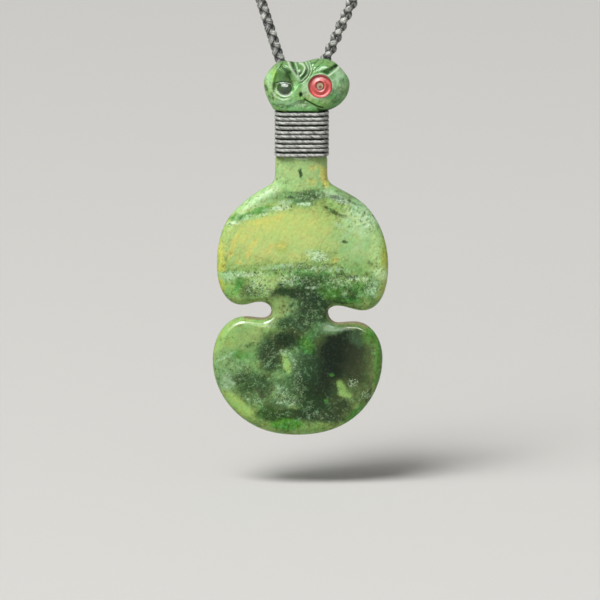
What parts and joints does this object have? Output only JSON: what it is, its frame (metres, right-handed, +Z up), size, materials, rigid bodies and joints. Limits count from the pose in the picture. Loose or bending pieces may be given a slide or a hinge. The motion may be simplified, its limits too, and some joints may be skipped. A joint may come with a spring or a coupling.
{
  "type": "greenstone club pendant",
  "caption": "Two-lobed, notched greenstone club with a carved two-eyed head, bound with waxed thread on a braided neck cord.",
  "frame": {"origin": "the nape, under the top of the neck cord's loop", "axes": "+Z up, the carved face looks along -Y, +X to the right as one looks at that face"},
  "size_m": [0.1305, 0.1199, 0.2928],
  "materials": {
    "polished_greenstone": "polished",
    "red_inlay": "gloss",
    "waxed_thread": "satin",
    "braided_cord": "matte"
  },
  "bodies": {
    "root": {"greenstone_club": "polished_greenstone", "eye_inlay": "red_inlay", "neck_binding": "waxed_thread", "neck_cord_left": "braided_cord", "neck_cord_right": "braided_cord"}
  },
  "joints": []
}
